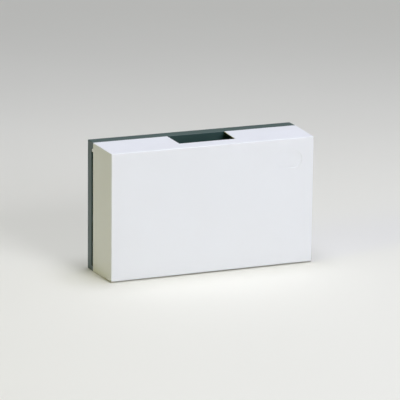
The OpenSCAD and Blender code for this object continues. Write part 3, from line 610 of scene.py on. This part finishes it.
def spring_advance(turn):
    """How far along the spring a turn has come, from 0 to 1: slow in the closed turns at both ends."""
    if turn < closed_turns:
        gone = closed_pitch * turn
    elif turn < spring_turns - closed_turns:
        gone = closed_pitch * closed_turns + open_pitch * (turn - closed_turns)
    else:
        gone = spring_length - closed_pitch * (spring_turns - turn)
    return gone / spring_length


route = []
for i in range(spring_turns * turn_steps + 1):
    nearby = [max(0, min(spring_turns, (i + nudge) / turn_steps)) for nudge in (-6, -3, 0, 3, 6)]
    gone = sum(spring_advance(turn) for turn in nearby) / len(nearby)
    a = 2 * math.pi * i / turn_steps
    route.append(Vector((spring_from + (spring_to - spring_from) * gone,
                         plunger_out - spring_radius * math.sin(a), spring_radius * math.cos(a))))
spring = new_piece("coiled_return_spring", [sweep_wire(route, [spring_wire] * len(route))],
                   spring_steel, None, ["return_spring"])
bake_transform(spring)

# Terminal block: a cream moulding with barriers between its two ways, screwed to the base by its ears.
# Each way has a stamped brass plate with a solder tail, a square zinc clamp and a slotted brass screw.

cream = shade(226, 214, 182)
cream_deep = shade(212, 196, 158)
cream_grime = shade(140, 128, 104)
cream_rubbed = shade(238, 230, 208)
block_moulding, tree = new_finish("Cream moulded block")
skin = use_effect(tree, moulded_skin, grain=0.0003, flow=0.008)
dusty = use_effect(tree, corner_dust, reach=0.0025, patch=0.004)["Mask"]
rubbed = use_effect(tree, edge_rub, reach=0.0005, break_up=0.002)["Mask"]
colour = blend_colour(tree, skin["Tone"], cream, cream_deep)
colour = lay_over(tree, colour, dusty, 0.35, cream_grime)
colour = lay_over(tree, colour, rubbed, 0.35, cream_rubbed)
join(tree, base_color=colour, roughness=stretch(tree, skin["Tone"], 0.2, 0.8, 0.42, 0.54),
     normal=relief(tree, skin["Height"], deep=0.00002))
dress(pieces["terminal_block"], block_moulding)
ease_edges(pieces["terminal_block"], radius=0.0003)

brass_bright = shade(214, 176, 98)
brass_brown = shade(138, 98, 46)
brass_polish = shade(236, 208, 140)
stamped_brass, tree = new_finish("Stamped brass", {"Metallic": 1.0})
grain = use_effect(tree, drawn_grain, across=(3500.0, 3500.0, 160.0), smear=0.0035)
rubbed = use_effect(tree, edge_rub, reach=0.0004, break_up=0.0015)["Mask"]
dusty = use_effect(tree, corner_dust, reach=0.0015, patch=0.002)["Mask"]
colour = blend_colour(tree, stretch(tree, grain["Smudge"], 0.45, 0.75, 0.0, 0.7), brass_bright, brass_brown)
colour = lay_over(tree, colour, dusty, 0.5, brass_brown)
colour = lay_over(tree, colour, rubbed, 0.5, brass_polish)
join(tree, base_color=colour, roughness=stretch(tree, grain["Smudge"], 0.3, 0.75, 0.24, 0.46),
     normal=relief(tree, grain["Streak"], deep=0.000004))
dress(pieces["terminal_plates"], stamped_brass)
ease_edges(pieces["terminal_plates"], radius=0.00012)
dress(pieces["wire_clamps"], zinc_plate)
ease_edges(pieces["wire_clamps"], radius=0.00015)
new_piece("terminal_block_fixing_screws",
          screw_pair("terminal_block_screws", thread=0.0026, cut="cross", turns=(0.6, 0.1)),
          zinc_plate, "base", ["terminal_block_screws"], sharp=34)
new_piece("slotted_terminal_screws",
          screw_pair("terminal_screws", thread=0.0035, cut="slot", turns=(0.35, 0.35)),
          stamped_brass, "base", ["terminal_screws"], sharp=34)

# Coil leads: stranded copper in soft PVC, red and blue. They come out from under the tape and run down to
# the terminal tails, where the insulation is stripped and the tinned ends are soldered flat.


def curve_through(knots, steps=14):
    """A smooth curve through the knots."""
    route = []
    for i in range(len(knots) - 1):
        a, b, c, d = (knots[max(0, min(len(knots) - 1, i + k))] for k in (-1, 0, 1, 2))
        for s in range(steps):
            t = s / steps
            route.append(0.5 * (2 * b + (c - a) * t + (2 * a - 5 * b + 4 * c - d) * t ** 2
                                + (3 * b - a - 3 * c + d) * t ** 3))
    return route + [knots[-1]]


lead_start = Vector((-0.010, plunger_out, -0.0116))
lead_end = Vector((-0.0129, -0.0127, -0.036))
lead_knots = [
    lead_start,
    lead_start + Vector((0, 0.0005, -0.003)),
    0.6 * lead_start + 0.4 * lead_end + Vector((0, -0.0025, -0.0015)),
    0.3 * lead_start + 0.7 * lead_end + Vector((0, -0.0015, 0.0005)),
    lead_end + Vector((0, -0.001, 0.005)),
    lead_end + Vector((0, 0, 0.0025)),
    lead_end]
bare_length, insulation_radius, strand_radius = 0.0036, 0.0008, 0.0004
tail_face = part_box("terminal_plates")[0][1]

tin_bright = shade(196, 198, 198)
tin_dull = shade(150, 152, 152)
tinned_solder, tree = new_finish("Tinned wire and solder", {"Metallic": 1.0})
frosted = speckle(tree, on_piece(tree), 0.0007, detail=3.0)
ripple = speckle(tree, on_piece(tree), 0.0018, detail=1.0)
colour = blend_colour(tree, stretch(tree, frosted, 0.35, 0.65), tin_dull, tin_bright)
join(tree, base_color=colour, roughness=stretch(tree, frosted, 0.3, 0.7, 0.18, 0.4),
     normal=relief(tree, ripple, deep=0.00008))


def solder_mound(centre, wide, long, tall, spokes=40, rings=12):
    """A mound of solder that has wetted the tail round a wire and run out thin at its edge."""
    centre = Vector(centre)
    points, faces = [centre + Vector((0, -tall, 0))], []
    for i in range(1, rings + 1):
        u = i / rings
        rise = tall * (0.5 + 0.5 * math.cos(math.pi * u)) ** 0.8
        for k in range(spokes):
            a = 2 * math.pi * k / spokes
            out = u * (1 + 0.06 * math.sin(3 * a + 1) + 0.04 * math.sin(5 * a))
            points.append(centre + Vector((wide * out * math.cos(a), -rise, long * out * math.sin(a))))
    faces += [(0, 1 + k, 1 + (k + 1) % spokes) for k in range(spokes)]
    for i in range(rings - 1):
        inner, outer = 1 + i * spokes, 1 + (i + 1) * spokes
        for k in range(spokes):
            j = (k + 1) % spokes
            faces.append((inner + k, outer + k, outer + j, inner + j))
    faces.append(tuple(1 + (rings - 1) * spokes + k for k in reversed(range(spokes))))
    return points, faces


pvc_red = shade(176, 40, 32)
pvc_red_deep = shade(142, 26, 22)
pvc_blue = shade(42, 62, 112)
pvc_blue_deep = shade(30, 44, 84)
tinned = []
for side, mirror, slot, pvc, pvc_deep in (("left", 1, "lead_red", pvc_red, pvc_red_deep),
                                          ("right", -1, "lead_blue", pvc_blue, pvc_blue_deep)):
    route = [Vector((mirror * p.x, p.y, p.z)) for p in curve_through(lead_knots)]
    gone, stripped = 0.0, len(route) - 1
    while gone < bare_length:
        stripped -= 1
        gone += (route[stripped + 1] - route[stripped]).length
    insulation, strands = route[:stripped + 1], route[stripped - 1:]
    radii = [insulation_radius] * len(insulation)
    radii[-1] = 0.82 * insulation_radius
    soft_pvc, tree = new_finish(f"Soft PVC, {side} lead")
    skin = use_effect(tree, moulded_skin, grain=0.0005, flow=0.005)
    dusty = use_effect(tree, corner_dust, reach=0.002, patch=0.003)["Mask"]
    colour = blend_colour(tree, skin["Tone"], pvc, pvc_deep)
    colour = lay_over(tree, colour, dusty, 0.2, house_dust)
    join(tree, base_color=colour, roughness=stretch(tree, skin["Tone"], 0.2, 0.8, 0.34, 0.5),
         normal=relief(tree, skin["Height"], deep=0.00002))
    new_piece(f"insulated_lead_{side}", [sweep_wire(insulation, radii, sides=16)], soft_pvc, "base",
              [f"coil_lead_{side}"])
    soldered = (mirror * lead_end.x, tail_face, lead_end.z + bare_length / 2)
    tinned.append(sweep_wire(strands, [strand_radius] * len(strands), sides=12))
    tinned.append(solder_mound(soldered, wide=0.0017, long=0.0018, tall=0.0014))
new_piece("soldered_tails", tinned, tinned_solder, "base")

# Cover: one moulding in cool white ABS with a fine satin skin and small even radii. It slides over the
# base's spigot, is keyed by its two tabs in the side grooves, and is held by its hooks inside the spigot.

cover_white = shade(231, 233, 236)
cover_white_warm = shade(228, 229, 231)
cover_grime = shade(168, 168, 160)
cover_abs, tree = new_finish("Cool white ABS")
skin = use_effect(tree, moulded_skin, grain=0.00025, flow=0.045)
dusty = use_effect(tree, corner_dust, reach=0.0012, patch=0.004)["Mask"]
rubbed = use_effect(tree, edge_rub, reach=0.001, break_up=0.012)["Mask"]
colour = blend_colour(tree, skin["Tone"], cover_white_warm, cover_white)
colour = lay_over(tree, colour, dusty, 0.1, cover_grime)
satin = stretch(tree, skin["Tone"], 0.2, 0.8, 0.4, 0.48)
polished = reckon(tree, "MULTIPLY", rubbed, 0.1)
join(tree, base_color=colour, roughness=reckon(tree, "SUBTRACT", satin, polished),
     normal=relief(tree, skin["Height"], deep=0.000018))
dress(pieces["cover"], cover_abs)
ease_edges(pieces["cover"], radius=0.00018)

# Studio: a wide pale paper floor under the case, and a plain sky, pale at the horizon and greyer above.
# A soft key lamp stands at the front right, a wide one hangs overhead, and a weak warm one fills the left.
# The camera looks from the left and from above, with a long lens.

floor_level, floor_reach = cad_box[0][2], 6.0
fade_from, fade_to = 0.5, 2.2
paper_grey = shade(232, 231, 221)
paper_grey_deep = shade(228, 227, 217)
horizon_grey = (0.60, 0.605, 0.585, 1)
upper_grey = (0.32, 0.325, 0.31, 1)
sky_light = (0.08, 0.08, 0.07, 1)
horizon_top, sky_full = 0.02, 0.2


def ease_between(tree, value, low, high):
    """From 0 at low to 1 at high, with soft ends."""
    inputs = {0: value, 1: low, 2: high}
    return place(tree, "ShaderNodeMapRange", inputs, interpolation_type="SMOOTHSTEP").outputs[0]


def seen_directly(tree):
    """1 for the rays that show the backdrop: to the camera, in gloss and through glass."""
    rays = place(tree, "ShaderNodeLightPath").outputs
    through = reckon(tree, "MAXIMUM", rays["Is Glossy Ray"], rays["Is Transmission Ray"])
    return reckon(tree, "MAXIMUM", rays["Is Camera Ray"], through)


floor_paper, tree = new_finish("Pale paper floor")
colour = blend_colour(tree, speckle(tree, on_piece(tree), 0.3, detail=3.0), paper_grey_deep, paper_grey)
fibres = speckle(tree, on_piece(tree), 0.002)
join(tree, base_color=colour, roughness=stretch(tree, fibres, 0.0, 1.0, 0.85, 0.95))
from_case = place(tree, "ShaderNodeVectorMath", {0: on_piece(tree)}, operation="LENGTH").outputs["Value"]
faded = reckon(tree, "MULTIPLY", ease_between(tree, from_case, fade_from, fade_to), seen_directly(tree))
paper = tree.nodes["Principled BSDF"].outputs[0]
distance = place(tree, "ShaderNodeEmission", {"Color": horizon_grey}).outputs[0]
swept = place(tree, "ShaderNodeMixShader", {0: faded, 1: paper, 2: distance}).outputs[0]
tree.links.new(swept, tree.nodes["Material Output"].inputs["Surface"])
corner_signs = ((-1, -1), (1, -1), (1, 1), (-1, 1))
floor_corners = [(x * floor_reach, y * floor_reach, floor_level) for x, y in corner_signs]
floor_mesh = bpy.data.meshes.new("studio_floor")
floor_mesh.from_pydata(floor_corners, [], [(0, 1, 2, 3)])
floor_mesh.materials.append(floor_paper)
studio_floor = bpy.data.objects.new("studio_floor", floor_mesh)
bpy.context.scene.collection.objects.link(studio_floor)

sky = bpy.data.worlds.new("Pale studio sky")
sky.use_nodes = True
tree = sky.node_tree
tree.nodes.clear()
ambient = place(tree, "ShaderNodeBackground", {"Color": sky_light, "Strength": 1.0}).outputs[0]
upwards = place(tree, "ShaderNodeTexCoord").outputs["Generated"]
height = place(tree, "ShaderNodeSeparateXYZ", {0: upwards}).outputs["Z"]
colour = blend_colour(tree, ease_between(tree, height, horizon_top, sky_full), horizon_grey, upper_grey)
backdrop = place(tree, "ShaderNodeBackground", {"Color": colour, "Strength": 1.0}).outputs[0]
mixed = place(tree, "ShaderNodeMixShader", {0: seen_directly(tree), 1: ambient, 2: backdrop}).outputs[0]
place(tree, "ShaderNodeOutputWorld", {"Surface": mixed})
bpy.context.scene.world = sky


def studio_lamp(name, spot, aim, size, power, colour, spread=180):
    """A round soft lamp at a spot, turned to its aim."""
    lamp = bpy.data.lights.new(name, "AREA")
    lamp.shape = "DISK"
    lamp.size = size
    lamp.energy = power
    lamp.color = colour
    lamp.spread = math.radians(spread)
    holder = bpy.data.objects.new(name, lamp)
    holder.location = spot
    holder.rotation_euler = (Vector(aim) - Vector(spot)).to_track_quat("-Z", "Y").to_euler()
    bpy.context.scene.collection.objects.link(holder)


case_heart, left_side = (0, -0.03, 0), (-0.095, -0.03, 0)
studio_lamp("key_lamp", (0.45, -2.0, 0.85), case_heart, size=0.9, power=26.9, colour=(0.89, 0.905, 1.0))
studio_lamp("top_lamp", (0.1, -0.05, 1.8), case_heart, size=1.2, power=29.2, colour=(0.845, 0.86, 1.0))
studio_lamp("warm_fill", (-2.2, -0.6, 1.0), left_side, size=0.8, power=0.95, colour=(1.0, 0.95, 0.12),
            spread=60)

aim = Vector((0, -0.03275, 0))
turn, rise, roll = math.radians(-23.16), math.radians(14.39), math.radians(0.6)
stand_off, slide_left, lift = 2.5915, 0.00363, 0.00267
back = Vector((math.sin(turn) * math.cos(rise), -math.cos(turn) * math.cos(rise), math.sin(rise)))
level = Vector((math.cos(turn), math.sin(turn), 0))
upright = back.cross(level)
across = math.cos(roll) * level + math.sin(roll) * upright
above = math.cos(roll) * upright - math.sin(roll) * level
eye = aim + back * stand_off - across * slide_left + above * lift
camera = bpy.data.cameras.new("long_lens")
camera.lens = 270.3
camera.sensor_width = 36.0
camera.sensor_fit = "HORIZONTAL"
camera.clip_start = 0.05
camera.clip_end = 50.0
viewer = bpy.data.objects.new("long_lens", camera)
viewer.matrix_world = Matrix(((across.x, above.x, back.x, eye.x), (across.y, above.y, back.y, eye.y),
                              (across.z, above.z, back.z, eye.z), (0, 0, 0, 1)))
bpy.context.scene.collection.objects.link(viewer)
bpy.context.scene.camera = viewer
bpy.context.scene.view_settings.view_transform = "Standard"
